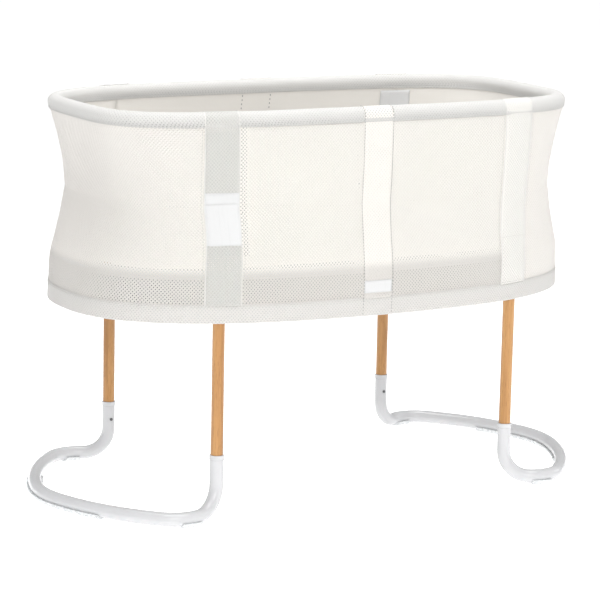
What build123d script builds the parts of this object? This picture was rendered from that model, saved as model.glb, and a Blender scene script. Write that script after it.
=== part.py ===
from build123d import *
import math
import os
from collections import namedtuple

# A fabric bassinet on a four-legged stand.
# X runs along the bassinet, Y across it (front is -Y), Z up from the floor. Millimetres.

# ---------------------------------------------------------------- driving dimensions

# Stand: four dowel legs, and a bent tube under each end that joins a front leg to a back leg.
LEG_X = 274.7
LEG_Y = 208.7
LEG_DIAMETER = 20.0
LEG_BOTTOM_Z = 106.8
LEG_TOP_Z = 388.8
TENON_DIAMETER = 18.6
TENON_LENGTH = 42.0
COLLAR_HEIGHT = 8.0
COLLAR_DIAMETER = 23.4

FOOT_DIAMETER = 22.0
FOOT_WALL = 1.5
FOOT_AXIS_Z = 14.0
FOOT_KNEE_RADIUS = 44.9
FOOT_SPLAY = math.radians(27.4)
FOOT_ARCS = ((54.6, 72.2), (390.0, 30.1))

GLIDE_OUTER_RADIUS = 14.8
GLIDE_LIP_Z = 8.5
GLIDE_REACH_Y = 135.0
CORNER_GLIDE_LENGTH = 30.0

LOCK_SCREW_Z = 75.8
LOCK_SCREW_DIAMETER = 3.0
LOCK_SCREW_HEAD_DIAMETER = 5.2
LOCK_SCREW_HEAD_HEIGHT = 1.2

# Basket outline: rounded ovals, each with a half length, a half width and a squareness.
Oval = namedtuple("Oval", "half_length half_width squareness")
RIM = Oval(442.5, 222.5, 3.75)
WAIST = Oval(411.0, 231.0, 3.6)
PLATFORM = Oval(452.0, 255.0, 2.55)
HEM = Oval(455.8, 257.6, 2.475)
RIM_Z = 647.0
WAIST_Z = 505.0
PLATFORM_Z = 400.0
HEM_TOP_Z = 355.0
HEM_Z = 324.0
FLARE_POWER = 1.75

# Basket frame: steel tubes on four corner connectors.
TUBE_DIAMETER = 16.0
TUBE_WALL = 1.5
INNER_TUBE_WALL = 1.2
PLATFORM_TUBE_HALF_LENGTH = 441.0
PLATFORM_TUBE_SQUARENESS = 2.5
CROSS_RAIL_DIAMETER = 12.0
CROSS_RAIL_SPACING = 170.0
CONNECTOR_DIAMETER = 23.0
CONNECTOR_BOTTOM_Z = 356.0
CONNECTOR_CUP_DIAMETER = 19.6
CONNECTOR_TOP_Z = 432.0
UPRIGHT_FLOOR_Z = 417.0
SPIGOT_LENGTH = 36.0
FERRULE_HALF_LENGTH = 42.0
HOOP_BUTTON_X = 22.0
HOOP_BUTTON_DIAMETER = 5.0

# Rim padding round the upper hoop.
FOAM_DIAMETER = 24.0
RIM_COVER_DIAMETER = 26.0

# Fabric layers.
COVER_THICKNESS = 1.5
COVER_TOP_Z = 633.5
STRIP_HALF_WIDTH = 27.5
STRIP_STAND_OFF = 2.2
STRIP_THICKNESS = 1.6
CENTRE_STRIP_LEAN = (4.0, -12.0)
LINER_THICKNESS = 1.2
LINER_TOP = Oval(419.0, 199.0, 3.75)
LINER_WAIST = Oval(405.0, 222.0, 2.9)
LINER_BASE = Oval(406.0, 197.0, 3.75)
LINER_BASE_Z = 407.3
HEM_STAND_OFF = 0.8
HEM_LAYER = 1.2
HEM_SLOT = 2.0
STIFFENER_THICKNESS = 1.6
BASE_PANEL_Z = 351.5
BASE_PANEL_THICKNESS = 1.2
BASE_PANEL_HOLE_DIAMETER = 25.0
LABEL_THICKNESS = 0.4
POCKET_LABEL_Z = (449.0, 533.0)
INNER_LABEL_Z = (592.0, 632.0)
SEWN_TAG_Z = (362.0, 382.0)

# Sleeping surface.
BOARD = Oval(398.0, 189.0, 3.75)
BOARD_THICKNESS = 5.0
BOARD_VENT_DIAMETER = 16.0
BOARD_VENT_PITCH = (84.0, 90.0)
MATTRESS = Oval(396.4, 187.4, 3.75)
MATTRESS_THICKNESS = 40.0
SHEET_THICKNESS = 1.0
SHEET_HEM_WIDTH = 30.0
REST_GAP = 0.3

# ---------------------------------------------------------------- worked-out values

LEG_RADIUS = LEG_DIAMETER / 2
FOOT_RADIUS = FOOT_DIAMETER / 2
TUBE_RADIUS = TUBE_DIAMETER / 2
TUBE_BORE_RADIUS = TUBE_RADIUS - TUBE_WALL
SLIP = 0.2
COVER_HEIGHTS = (HEM_TOP_Z + SLIP, PLATFORM_Z, WAIST_Z, 535.0, 570.0, 605.0, COVER_TOP_Z)
LINER_HEIGHTS = (LINER_BASE_Z, 455.0, WAIST_Z, 565.0, COVER_TOP_Z)
HOOP = Oval(RIM.half_length - RIM_COVER_DIAMETER / 2, RIM.half_width - RIM_COVER_DIAMETER / 2, RIM.squareness)


def width_through(x, y, half_length, squareness):
    """Half width of the oval that passes through (x, y)."""
    return y / (1 - (x / half_length) ** squareness) ** (1 / squareness)


PLATFORM_TUBE = Oval(
    PLATFORM_TUBE_HALF_LENGTH,
    width_through(LEG_X, LEG_Y, PLATFORM_TUBE_HALF_LENGTH, PLATFORM_TUBE_SQUARENESS),
    PLATFORM_TUBE_SQUARENESS,
)
HOOP_Y_AT_LEG = HOOP.half_width * (1 - (LEG_X / HOOP.half_length) ** HOOP.squareness) ** (1 / HOOP.squareness)
UPRIGHT_FOOT = Vector(LEG_X, LEG_Y, PLATFORM_Z)
UPRIGHT_HEAD = Vector(LEG_X, HOOP_Y_AT_LEG, RIM_Z)
UPRIGHT_AXIS = (UPRIGHT_HEAD - UPRIGHT_FOOT).normalized()

CORNERS = {
    "front_left": (-1, -1),
    "front_right": (1, -1),
    "back_left": (-1, 1),
    "back_right": (1, 1),
}
ENDS = {"left": -1, "right": 1}
SIDES = {"front": -1, "back": 1}

# ---------------------------------------------------------------- ovals and paths


def oval_point(oval, angle):
    """Point of the oval at an angle counted from +X towards +Y."""
    c = math.cos(angle)
    s = math.sin(angle)
    power = 2 / oval.squareness
    x = math.copysign(oval.half_length * abs(c) ** power, c)
    y = math.copysign(oval.half_width * abs(s) ** power, s)
    return Vector(x, y, 0)


def oval_normal(oval, angle):
    """Outward unit normal of the oval at that angle."""
    c = math.cos(angle)
    s = math.sin(angle)
    power = 2 * (oval.squareness - 1) / oval.squareness
    x = math.copysign(abs(c) ** power / oval.half_length, c)
    y = math.copysign(abs(s) ** power / oval.half_width, s)
    return Vector(x, y, 0).normalized()


def oval_tangent(oval, angle):
    """Unit tangent of the oval, anticlockwise."""
    normal = oval_normal(oval, angle)
    return Vector(-normal.Y, normal.X, 0)


def angle_at(oval, x, side):
    """Angle of the oval's point at x on the front (-1) or back (+1) side."""
    share = min(1.0, abs(x) / oval.half_length) ** (oval.squareness / 2)
    return side * math.acos(math.copysign(share, x))


def blend(first, second, share):
    """The oval part of the way from the first to the second."""
    return Oval(*(a + (b - a) * share for a, b in zip(first, second)))


def cover_oval(z):
    """Outside of the fabric cover: it flares up to the rim and out to the platform below the waist."""
    if z >= WAIST_Z:
        drop = (RIM_Z - z) / (RIM_Z - WAIST_Z)
        return blend(RIM, WAIST, 1 - (1 - drop) ** FLARE_POWER)
    if z >= PLATFORM_Z:
        return blend(WAIST, PLATFORM, (WAIST_Z - z) / (WAIST_Z - PLATFORM_Z))
    return blend(PLATFORM, HEM, (PLATFORM_Z - z) / (PLATFORM_Z - HEM_Z))


def liner_oval(z):
    """Outside of the inner liner: from inside the rim, out at the waist, in to the mattress."""
    if z >= WAIST_Z:
        return blend(LINER_TOP, LINER_WAIST, (COVER_TOP_Z - z) / (COVER_TOP_Z - WAIST_Z))
    return blend(LINER_WAIST, LINER_BASE, (WAIST_Z - z) / (WAIST_Z - LINER_BASE_Z))


def tangent_arcs(start, start_tangent, end, end_tangent):
    """Two arcs, tangent to each other, that join two points with given tangents."""
    chord = end - start
    both = start_tangent + end_tangent
    turn = 2 * (1 - start_tangent.dot(end_tangent))
    across = chord.dot(both)
    reach = (math.sqrt(across**2 + turn * chord.dot(chord)) - across) / turn
    middle = (start + end + (start_tangent - end_tangent) * reach) / 2
    first_chord = (middle - start).normalized()
    middle_tangent = first_chord * (2 * start_tangent.dot(first_chord)) - start_tangent
    first = TangentArc(start, middle, tangent=start_tangent)
    second = TangentArc(middle, end, tangent=middle_tangent)
    return [first, second]


def oval_path(oval, z, start, end, spans):
    """Path of tangent arcs along the oval at height z, between two angles."""
    edges = []
    for i in range(spans):
        a = start + (end - start) * i / spans
        b = start + (end - start) * (i + 1) / spans
        first = (oval_point(oval, a), oval_tangent(oval, a))
        second = (oval_point(oval, b), oval_tangent(oval, b))
        edges += tangent_arcs(*first, *second)
    return Pos(0, 0, z) * Wire([edge.edge() for edge in edges])


def rod_along(path, radius):
    """Round solid bar along a path."""
    start = Plane(origin=path @ 0, z_dir=path % 0)
    return sweep(start * Circle(radius), path=path)


def tube_along(path, radius, bore_radius):
    """Round tube along a path."""
    return rod_along(path, radius) - rod_along(path, bore_radius)


def rod_between(start, end, radius):
    """Straight round bar between two points."""
    axis = end - start
    return extrude(Plane(origin=start, z_dir=axis) * Circle(radius), amount=axis.length)


def upright_rod(radius, bottom_z, top_z):
    """Straight bar on the axis of the back right upright, between two heights."""
    start = UPRIGHT_FOOT + UPRIGHT_AXIS * ((bottom_z - PLATFORM_Z) / UPRIGHT_AXIS.Z)
    end = UPRIGHT_FOOT + UPRIGHT_AXIS * ((top_z - PLATFORM_Z) / UPRIGHT_AXIS.Z)
    return rod_between(start, end, radius)


def placed(shape, corner):
    """A piece made at the back right, mirrored to another corner."""
    x_side, y_side = corner
    if x_side < 0:
        shape = mirror(shape, about=Plane.YZ)
    if y_side < 0:
        shape = mirror(shape, about=Plane.XZ)
    return shape


def layer(bottom_z, top_z):
    """Block wider than the bassinet between two heights, to cut shapes with."""
    align = (Align.CENTER, Align.CENTER, Align.MIN)
    return Pos(0, 0, bottom_z) * Box(1200, 800, top_z - bottom_z, align=align)


def save(name, *solids):
    """Write one piece, or one group of identical pieces."""
    shape = solids[0] if len(solids) == 1 else Compound(children=list(solids))
    export_step(shape, f"parts/{name}.step")


# ---------------------------------------------------------------- fabric walls


def wall_section(oval, z, span, inset, thickness):
    """Thin strip of wall at one height, inset from the oval and between two angles."""
    start, end = span
    count = 17
    angles = [start + (end - start) * i / (count - 1) for i in range(count)]
    outer = [oval_point(oval, a) - oval_normal(oval, a) * inset for a in angles]
    inner = [oval_point(oval, a) - oval_normal(oval, a) * (inset + thickness) for a in angles]
    edges = [Spline(*outer), Line(outer[-1], inner[-1]), Spline(*inner[::-1]), Line(inner[0], outer[0])]
    return Pos(0, 0, z) * make_face(edges)


def wall_panel(outline, heights, span_at, inset, thickness):
    """Wall of fabric that follows an outline over a list of heights."""
    ovals = [(outline(z), z) for z in heights]
    return loft([wall_section(oval, z, span_at(oval, z), inset, thickness) for oval, z in ovals], ruled=True)


def long_span(side, half_width, centre=lambda z: 0.0):
    """Angles of a panel on the front or back, so wide each side of its centre line."""

    def span(oval, z):
        low = angle_at(oval, centre(z) - half_width, side)
        high = angle_at(oval, centre(z) + half_width, side)
        return low, high

    return span


def end_span(end):
    """Angles of a panel that wraps an end, from one post to the other."""

    def span(oval, z):
        post = angle_at(oval, LEG_X, 1)
        if end > 0:
            return -post, post
        return math.pi - post, math.pi + post

    return span


def wall_sets(outline, heights, inset, thickness):
    """The four panels between the posts, by name."""
    panels = {name: wall_panel(outline, heights, long_span(side, LEG_X), inset, thickness)
              for name, side in SIDES.items()}
    for name, end in ENDS.items():
        panels[name] = wall_panel(outline, heights, end_span(end), inset, thickness)
    return panels


def oval_face(oval, z):
    """Flat face with the oval's outline."""
    count = 48
    points = [oval_point(oval, 2 * math.pi * i / count) for i in range(count)]
    return Pos(0, 0, z) * make_face(Spline(*points, periodic=True))


def slab(oval, z, thickness):
    """Flat plate with the oval's outline."""
    return extrude(oval_face(oval, z), amount=thickness)


def grown(oval, amount):
    """The oval, larger all round."""
    return Oval(oval.half_length + amount, oval.half_width + amount, oval.squareness)


# ---------------------------------------------------------------- stand


def foot_plan():
    """Centre line of the right foot on the floor, from the back knee to the end, as arcs."""
    heading = FOOT_SPLAY
    outward = Vector(math.cos(heading), math.sin(heading), 0)
    point = Vector(LEG_X, LEG_Y, FOOT_AXIS_Z) + outward * FOOT_KNEE_RADIUS
    edges = []
    for radius, turn in FOOT_ARCS:
        tangent = (math.cos(heading), math.sin(heading), 0)
        arc = JernArc(point, tangent, radius, -turn).edge()
        edges.append(arc)
        point = arc @ 1
        heading -= math.radians(turn)
    last_turn = 90 + math.degrees(heading)
    end_radius = point.Y / math.sin(math.radians(last_turn))
    edges.append(JernArc(point, (math.cos(heading), math.sin(heading), 0), end_radius, -last_turn).edge())
    return edges


def foot_knee():
    """Bend from the vertical leg to the floor, at the back right."""
    out = Vector(math.cos(FOOT_SPLAY), math.sin(FOOT_SPLAY), 0)
    centre = Vector(LEG_X, LEG_Y, FOOT_AXIS_Z + FOOT_KNEE_RADIUS) + out * FOOT_KNEE_RADIUS
    start = centre - out * FOOT_KNEE_RADIUS
    middle = centre - (out + Vector(0, 0, 1)).normalized() * FOOT_KNEE_RADIUS
    end = centre - Vector(0, 0, FOOT_KNEE_RADIUS)
    return ThreePointArc(start, middle, end).edge()


def foot():
    """Bent tube under the right end, with a lock screw hole in each leg socket."""
    top = Vector(LEG_X, LEG_Y, LEG_BOTTOM_Z - COLLAR_HEIGHT - SLIP)
    straight = Line(top, foot_knee() @ 0).edge()
    half = Wire([straight, foot_knee(), *foot_plan()])
    shape = tube_along(half, FOOT_RADIUS, FOOT_RADIUS - FOOT_WALL)
    shape -= lock_screw_hole()
    return shape + mirror(shape, about=Plane.XZ)


def lock_screw_hole():
    """Hole for a lock screw, on the side of the back right leg that faces the front."""
    axis = Vector(LEG_X, LEG_Y, LOCK_SCREW_Z)
    return rod_between(axis, axis - Vector(0, FOOT_DIAMETER, 0), LOCK_SCREW_DIAMETER / 2 + SLIP)


def leg():
    """Dowel leg with a turned tenon at its lower end."""
    tenon = Pos(LEG_X, LEG_Y, LEG_BOTTOM_Z - TENON_LENGTH) * Cylinder(
        TENON_DIAMETER / 2, TENON_LENGTH, align=(Align.CENTER, Align.CENTER, Align.MIN)
    )
    dowel = Pos(LEG_X, LEG_Y, LEG_BOTTOM_Z) * Cylinder(
        LEG_RADIUS, LEG_TOP_Z - LEG_BOTTOM_Z, align=(Align.CENTER, Align.CENTER, Align.MIN)
    )
    dowel = chamfer(dowel.edges().group_by(Axis.Z)[-1], 1.5)
    return dowel + tenon - lock_screw_hole()


def collar():
    """Ring between the foot tube and the dowel."""
    size = (Align.CENTER, Align.CENTER, Align.MIN)
    ring = Cylinder(COLLAR_DIAMETER / 2, COLLAR_HEIGHT - SLIP, align=size)
    ring = fillet(ring.edges().filter_by(GeomType.CIRCLE), 0.8)
    ring -= Cylinder(TENON_DIAMETER / 2 + SLIP, COLLAR_HEIGHT, align=size)
    return Pos(LEG_X, LEG_Y, LEG_BOTTOM_Z - COLLAR_HEIGHT) * ring


def lock_screw():
    """Small round-headed screw through the foot tube into the tenon."""
    toward_middle = Vector(0, -1, 0)
    axis = Vector(LEG_X, LEG_Y, LOCK_SCREW_Z)
    surface = axis + toward_middle * FOOT_RADIUS
    shank = rod_between(axis + toward_middle * 4, surface, LOCK_SCREW_DIAMETER / 2)
    head_top = surface + toward_middle * LOCK_SCREW_HEAD_HEIGHT
    return shank + rod_between(surface, head_top, LOCK_SCREW_HEAD_DIAMETER / 2)


def glide_along(path):
    """Plastic channel under a stretch of foot tube, flat where it stands on the floor."""
    channel = rod_along(path, GLIDE_OUTER_RADIUS) - rod_along(path, FOOT_RADIUS + 0.1)
    return channel & layer(0, GLIDE_LIP_Z)


def end_glide():
    """Long glide round the outside of the right foot."""
    arcs = foot_plan()[1:]
    first = arcs[0]
    share = next(i / 200 for i in range(200) if (first @ (i / 200)).Y < GLIDE_REACH_Y)
    back = glide_along(Wire([first.trim(share, 1), arcs[1]]))
    return back + mirror(back, about=Plane.XZ)


def corner_glide():
    """Short glide under the knee of the foot at the back right."""
    arc = foot_plan()[0]
    half = CORNER_GLIDE_LENGTH / 2 / arc.length
    return glide_along(Wire([arc.trim(0.3 - half, 0.3 + half)]))


# ---------------------------------------------------------------- basket frame


def connector():
    """Corner connector: leg socket below, upright socket above, a spigot for each platform tube."""
    axis = Vector(LEG_X, LEG_Y, 0)
    low = axis + Vector(0, 0, CONNECTOR_BOTTOM_Z)
    radius = CONNECTOR_DIAMETER / 2
    body = rod_between(low, axis + Vector(0, 0, PLATFORM_Z + TUBE_RADIUS), radius)
    body += upright_rod(CONNECTOR_CUP_DIAMETER / 2, PLATFORM_Z, CONNECTOR_TOP_Z)
    body -= rod_between(low, axis + Vector(0, 0, LEG_TOP_Z + SLIP), LEG_RADIUS + SLIP)
    body -= upright_rod(TUBE_RADIUS + SLIP, UPRIGHT_FLOOR_Z, CONNECTOR_TOP_Z + 20)
    post = angle_at(PLATFORM_TUBE, LEG_X, 1)
    step = 0.1
    stride = (oval_point(PLATFORM_TUBE, post + step) - oval_point(PLATFORM_TUBE, post)).length
    reach = step * SPIGOT_LENGTH / stride
    for direction in (-1, 1):
        angles = sorted((post, post + direction * reach))
        body += rod_along(oval_path(PLATFORM_TUBE, PLATFORM_Z, *angles, 1), TUBE_BORE_RADIUS - SLIP)
    return body


def platform_tube(start, end, spans):
    """Stretch of the platform frame from one connector to the next."""
    tube = tube_along(oval_path(PLATFORM_TUBE, PLATFORM_Z, start, end, spans), TUBE_RADIUS, TUBE_BORE_RADIUS)
    for corner in CORNERS.values():
        post = Pos(corner[0] * LEG_X, corner[1] * LEG_Y, PLATFORM_Z)
        tube -= post * Cylinder(CONNECTOR_DIAMETER / 2, 4 * TUBE_DIAMETER)
    return tube


def platform_rail(side):
    """Long tube of the platform frame, at the front or back."""
    low = angle_at(PLATFORM_TUBE, -LEG_X, side)
    high = angle_at(PLATFORM_TUBE, LEG_X, side)
    return platform_tube(min(low, high), max(low, high), 4)


def platform_bow(end):
    """Tube of the platform frame that goes round an end."""
    post = angle_at(PLATFORM_TUBE, LEG_X, 1)
    middle = 0 if end > 0 else math.pi
    return platform_tube(middle - post, middle + post, 6)


def cross_rail(x, rails):
    """Tube across the platform frame, ends shaped to fit the long rails."""
    reach = Vector(0, PLATFORM_TUBE.half_width, 0)
    centre = Vector(x, 0, PLATFORM_Z)
    radius = CROSS_RAIL_DIAMETER / 2
    ends = (centre - reach, centre + reach)
    tube = rod_between(*ends, radius) - rod_between(*ends, radius - INNER_TUBE_WALL)
    return (tube - rails).solids().sort_by(SortBy.VOLUME)[-1]


def hoop_path(end):
    """Centre line of half of the upper hoop, from the front round one end to the back."""
    middle = 0 if end > 0 else math.pi
    return oval_path(HOOP, RIM_Z, middle - math.pi / 2, middle + math.pi / 2, 8)


def hoop_buttons_at(radius, bottom, top):
    """One short vertical rod at each place where a button locks the hoop, as a list."""
    rods = []
    for side in SIDES.values():
        for x in (-HOOP_BUTTON_X, HOOP_BUTTON_X):
            y = oval_point(HOOP, angle_at(HOOP, x, side)).Y
            rods.append(rod_between(Vector(x, y, RIM_Z - bottom), Vector(x, y, RIM_Z - top), radius))
    return rods


def hoop_half(end):
    """Half of the upper hoop, with button holes in its underside."""
    tube = tube_along(hoop_path(end), TUBE_RADIUS, TUBE_BORE_RADIUS)
    for hole in hoop_buttons_at(HOOP_BUTTON_DIAMETER / 2 + SLIP, TUBE_DIAMETER, 0):
        tube -= hole
    return tube


def hoop_ferrule(side):
    """Inner tube that joins the two halves of the hoop at the front or back."""
    low = angle_at(HOOP, -FERRULE_HALF_LENGTH, side)
    high = angle_at(HOOP, FERRULE_HALF_LENGTH, side)
    path = oval_path(HOOP, RIM_Z, min(low, high), max(low, high), 1)
    radius = TUBE_BORE_RADIUS - SLIP
    tube = tube_along(path, radius, radius - INNER_TUBE_WALL)
    for hole in hoop_buttons_at(HOOP_BUTTON_DIAMETER / 2 + SLIP, TUBE_DIAMETER, 0):
        tube -= hole
    return tube


def hoop_buttons():
    """Spring buttons of the hoop: a pin through both tubes and a flange inside."""
    pins = hoop_buttons_at(HOOP_BUTTON_DIAMETER / 2, TUBE_RADIUS - 0.5, 3.0)
    flanges = hoop_buttons_at(HOOP_BUTTON_DIAMETER / 2 + 0.7, 3.6, 2.8)
    return [pin + flange for pin, flange in zip(pins, flanges)]


def upright(hoop_bar):
    """Straight tube from the connector to the underside of the hoop, saddled to fit it."""
    tube = upright_rod(TUBE_RADIUS, UPRIGHT_FLOOR_Z, RIM_Z)
    tube -= upright_rod(TUBE_BORE_RADIUS, UPRIGHT_FLOOR_Z - 1, RIM_Z + 1)
    return (tube - hoop_bar).solids().sort_by(Axis.Z)[0]


# ---------------------------------------------------------------- soft parts


def rim_sleeve(end, outer_diameter, inner_diameter):
    """Half of a sleeve round the hoop, slit where the uprights come in."""
    sleeve = tube_along(hoop_path(end), outer_diameter / 2, inner_diameter / 2)
    for y_side in SIDES.values():
        sleeve -= placed(upright_rod(TUBE_RADIUS + REST_GAP, RIM_Z - 60, RIM_Z), (end, y_side))
    return sleeve


def hem_ring(inset, thickness, bottom_z, top_z):
    """Closed band that follows the hem."""

    def shape(extra):
        return loft([oval_face(grown(cover_oval(z), -extra), z) for z in (bottom_z, top_z)], ruled=True)

    return shape(inset) - shape(inset + thickness)


def base_panel():
    """Cloth bottom of the basket, inside the top of the hem, with a hole round each leg."""
    hem_inset = 2 * HEM_LAYER + HEM_SLOT - HEM_STAND_OFF + SLIP
    panel = slab(grown(cover_oval(BASE_PANEL_Z), -hem_inset), BASE_PANEL_Z, BASE_PANEL_THICKNESS)
    hole = Cylinder(BASE_PANEL_HOLE_DIAMETER / 2, 4 * BASE_PANEL_THICKNESS)
    for x_side, y_side in CORNERS.values():
        panel -= Pos(x_side * LEG_X, y_side * LEG_Y, BASE_PANEL_Z) * hole
    return panel


def centre_line(z):
    """The centre strips lean: their middle moves along X with height."""
    low, high = HEM_Z, RIM_Z
    top, bottom = CENTRE_STRIP_LEAN
    return bottom + (top - bottom) * (z - low) / (high - low)


def vented_board():
    """Stiff board under the mattress, with rows of vent holes."""
    board = slab(BOARD, LINER_BASE_Z + REST_GAP, BOARD_THICKNESS)
    pitch_x, pitch_y = BOARD_VENT_PITCH
    vents = GridLocations(pitch_x, pitch_y, 9, 4)
    hole = Cylinder(BOARD_VENT_DIAMETER / 2, 4 * BOARD_THICKNESS)
    return board - [Pos(0, 0, LINER_BASE_Z) * place * hole for place in vents]


def fitted_sheet(mattress_z):
    """Elastic-edged sheet over the mattress, turned in under its edge."""
    low = mattress_z - SHEET_THICKNESS - REST_GAP / 2
    high = mattress_z + MATTRESS_THICKNESS + REST_GAP + SHEET_THICKNESS
    shell = slab(grown(MATTRESS, REST_GAP + SHEET_THICKNESS), low, high - low)
    shell -= slab(grown(MATTRESS, REST_GAP), low + SHEET_THICKNESS, high - low - 2 * SHEET_THICKNESS)
    return shell - slab(grown(MATTRESS, -SHEET_HEM_WIDTH), low - 1, 2 * SHEET_THICKNESS + 1)


# ---------------------------------------------------------------- write the pieces


def write_stand():
    right_foot = foot()
    right_glide = end_glide()
    for name, end in ENDS.items():
        save(f"foot_{name}", placed(right_foot, (end, 1)))
        save(f"end_glide_{name}", placed(right_glide, (end, 1)))
    for name, corner in CORNERS.items():
        save(f"leg_{name}", placed(leg(), corner))
    save("leg_collars", *(placed(collar(), corner) for corner in CORNERS.values()))
    save("lock_screws", *(placed(lock_screw(), corner) for corner in CORNERS.values()))
    save("corner_glides", *(placed(corner_glide(), corner) for corner in CORNERS.values()))


def write_frame():
    hoop_bar = rod_along(hoop_path(1), TUBE_RADIUS)
    post = upright(hoop_bar)
    joint = connector()
    for name, corner in CORNERS.items():
        save(f"corner_connector_{name}", placed(joint, corner))
        save(f"upright_{name}", placed(post, corner))
    rail = platform_rail(1)
    bow = platform_bow(1)
    low, high = (angle_at(PLATFORM_TUBE, x, 1) for x in (LEG_X, -LEG_X))
    rail_bar = rod_along(oval_path(PLATFORM_TUBE, PLATFORM_Z, low, high, 4), TUBE_RADIUS)
    rail_bars = rail_bar + mirror(rail_bar, about=Plane.XZ)
    for name, side in SIDES.items():
        save(f"platform_rail_{name}", placed(rail, (1, side)))
        save(f"hoop_ferrule_{name}", hoop_ferrule(side))
    for name, end in ENDS.items():
        save(f"platform_bow_{name}", placed(bow, (end, 1)))
        save(f"rim_hoop_{name}", placed(hoop_half(1), (end, 1)))
    for i, name in enumerate(("left", "centre", "right")):
        save(f"cross_rail_{name}", cross_rail((i - 1) * CROSS_RAIL_SPACING, rail_bars))
    save("hoop_buttons", *hoop_buttons())


def write_rim_padding():
    foam = rim_sleeve(1, FOAM_DIAMETER, TUBE_DIAMETER + SLIP)
    cover = rim_sleeve(1, RIM_COVER_DIAMETER, FOAM_DIAMETER + SLIP)
    for name, end in ENDS.items():
        save(f"rim_foam_{name}", placed(foam, (end, 1)))
        save(f"rim_cover_{name}", placed(cover, (end, 1)))


def strip(side, centre):
    """Raised strip on the outside of the cover, on the front or back, about its centre line."""
    span = long_span(side, STRIP_HALF_WIDTH, centre)
    return wall_panel(cover_oval, COVER_HEIGHTS, span, -STRIP_STAND_OFF, STRIP_THICKNESS)


def write_fabric():
    for name, panel in wall_sets(cover_oval, COVER_HEIGHTS, 0, COVER_THICKNESS).items():
        save(f"outer_cover_{name}", panel)
    for name, panel in wall_sets(liner_oval, LINER_HEIGHTS, 0, LINER_THICKNESS).items():
        save(f"liner_{name}", panel)
    save("base_panel", base_panel())
    save("liner_floor", slab(LINER_BASE, LINER_BASE_Z - LINER_THICKNESS, LINER_THICKNESS))
    for name, (x_side, y_side) in CORNERS.items():
        save(f"corner_strip_{name}", strip(y_side, lambda z, x=x_side * LEG_X: x))
    for name, side in SIDES.items():
        save(f"centre_strip_{name}", strip(side, centre_line))
    hem_depth = 2 * HEM_LAYER + HEM_SLOT
    slot_inset = HEM_LAYER - HEM_STAND_OFF
    hem = hem_ring(-HEM_STAND_OFF, hem_depth, HEM_Z, HEM_TOP_Z)
    hem -= hem_ring(slot_inset, HEM_SLOT, HEM_Z + 3, HEM_TOP_Z + 1)
    save("hem_band", hem)
    save("hem_stiffener", hem_ring(slot_inset + SLIP, STIFFENER_THICKNESS, HEM_Z + 4, HEM_TOP_Z - 1))


def label(outline, heights, span, inset, bottom_z, top_z):
    """Blank label that lies on a wall, between two heights."""
    return wall_panel(outline, heights, span, inset, LABEL_THICKNESS) & layer(bottom_z, top_z)


def write_labels():
    under_strip = -LABEL_THICKNESS - 0.1
    front_left = long_span(-1, STRIP_HALF_WIDTH - 2, lambda z: -LEG_X)
    save("pocket_label", label(cover_oval, COVER_HEIGHTS, front_left, under_strip, *POCKET_LABEL_Z))
    back_right = long_span(1, STRIP_HALF_WIDTH, lambda z: LEG_X)
    inside_liner = LINER_THICKNESS + REST_GAP
    save("inner_label", label(liner_oval, LINER_HEIGHTS, back_right, inside_liner, *INNER_LABEL_Z))
    centre = long_span(-1, STRIP_HALF_WIDTH - 1.5, centre_line)
    over_strip = -STRIP_STAND_OFF - LABEL_THICKNESS - 0.1
    save("sewn_tag", label(cover_oval, COVER_HEIGHTS, centre, over_strip, *SEWN_TAG_Z))


def write_bed():
    save("mattress_board", vented_board())
    mattress_z = LINER_BASE_Z + 2 * REST_GAP + BOARD_THICKNESS + SHEET_THICKNESS + REST_GAP / 2
    save("mattress", slab(MATTRESS, mattress_z, MATTRESS_THICKNESS))
    save("fitted_sheet", fitted_sheet(mattress_z))


os.makedirs("parts", exist_ok=True)
write_stand()
write_frame()
write_rim_padding()
write_fabric()
write_labels()
write_bed()
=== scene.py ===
import math
from collections import namedtuple

import bmesh
import bpy
from mathutils import Matrix, Vector, noise


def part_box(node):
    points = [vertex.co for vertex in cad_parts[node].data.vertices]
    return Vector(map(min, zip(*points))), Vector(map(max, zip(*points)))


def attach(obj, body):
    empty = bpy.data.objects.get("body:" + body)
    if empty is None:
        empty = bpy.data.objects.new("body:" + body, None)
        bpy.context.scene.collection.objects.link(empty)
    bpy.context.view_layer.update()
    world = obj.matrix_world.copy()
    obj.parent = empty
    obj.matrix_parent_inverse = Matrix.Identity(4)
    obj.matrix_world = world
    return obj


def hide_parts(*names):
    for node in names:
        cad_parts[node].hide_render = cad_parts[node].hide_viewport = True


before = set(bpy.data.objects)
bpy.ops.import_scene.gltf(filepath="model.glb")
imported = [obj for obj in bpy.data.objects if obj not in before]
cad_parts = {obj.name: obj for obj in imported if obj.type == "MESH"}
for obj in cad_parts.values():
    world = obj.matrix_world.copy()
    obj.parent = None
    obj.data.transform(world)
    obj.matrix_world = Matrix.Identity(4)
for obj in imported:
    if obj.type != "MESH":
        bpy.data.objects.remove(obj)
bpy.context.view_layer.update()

# A fabric bassinet on a four-legged stand. Metres, in the frame's own axes: X along, -Y front, Z up.

# ---- dimensions

Oval = namedtuple("Oval", "half_length half_width squareness")


def box_of(*nodes):
    """Lowest and highest corner of several CAD nodes together."""
    boxes = [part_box(node) for node in nodes]
    low = Vector([min(box[0][k] for box in boxes) for k in range(3)])
    high = Vector([max(box[1][k] for box in boxes) for k in range(3)])
    return low, high


rim_low, rim_high = box_of("rim_cover_left", "rim_cover_right")
hem_low, hem_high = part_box("hem_band")
cover_high = box_of("outer_cover_front", "outer_cover_back")[1]
liner_high = box_of("liner_front", "liner_back", "liner_left", "liner_right")[1]
floor_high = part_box("liner_floor")[1]
bed_low, bed_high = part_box("mattress")
leg_low, leg_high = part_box("leg_back_right")

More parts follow.
